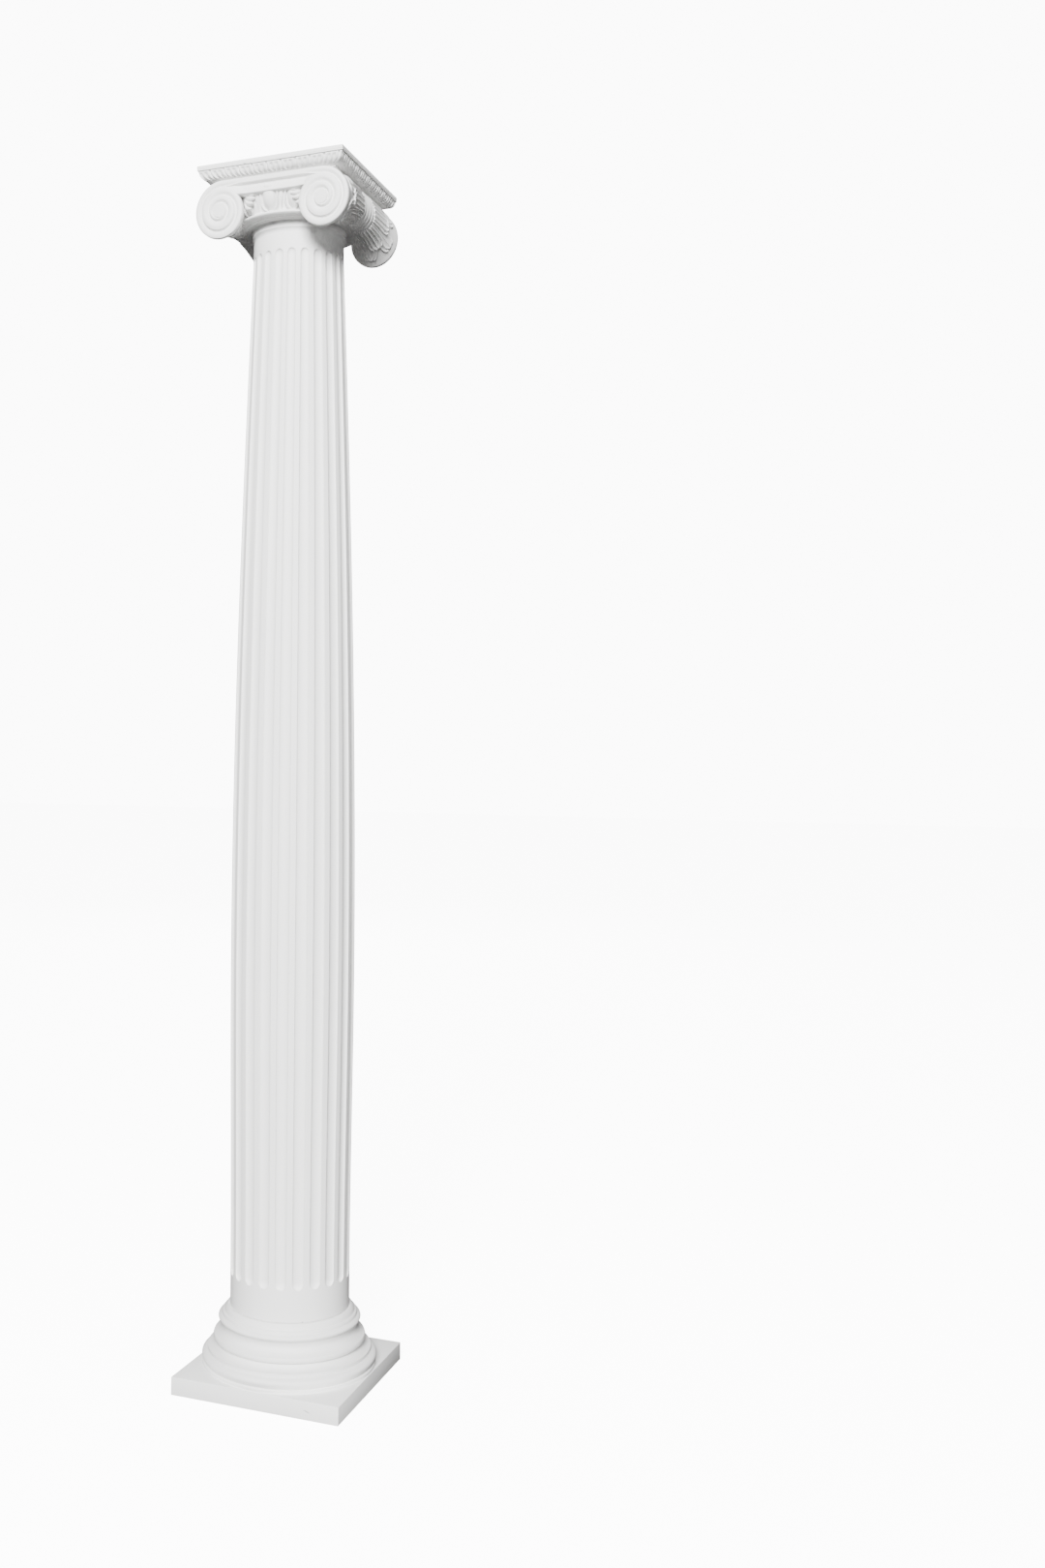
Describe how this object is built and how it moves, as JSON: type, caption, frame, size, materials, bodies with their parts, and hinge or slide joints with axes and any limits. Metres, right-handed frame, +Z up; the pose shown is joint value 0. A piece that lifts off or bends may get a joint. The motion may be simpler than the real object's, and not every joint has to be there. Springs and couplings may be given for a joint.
{
  "type": "fluted ionic column",
  "caption": "Free-standing round fluted column with a square plinth, moulded round base, swelling shaft and Ionic capital with volutes, bolsters and carved abacus.",
  "frame": {"origin": "middle of the plinth's underside, on the floor", "axes": "+Z up along the column's axis; the volutes face -Y and +Y, and the bolsters lie along the +X and -X sides"},
  "size_m": [0.384, 0.384, 2.7],
  "materials": {
    "base_coating": "matte white primed polyurethane moulding, smooth",
    "shaft_coating": "matte white primed polyurethane moulding, smooth",
    "capital_coating": "matte white primed polyurethane moulding, smooth"
  },
  "bodies": {
    "root": {"base": "base_coating", "shaft": "shaft_coating", "capital": "capital_coating"}
  },
  "joints": []
}
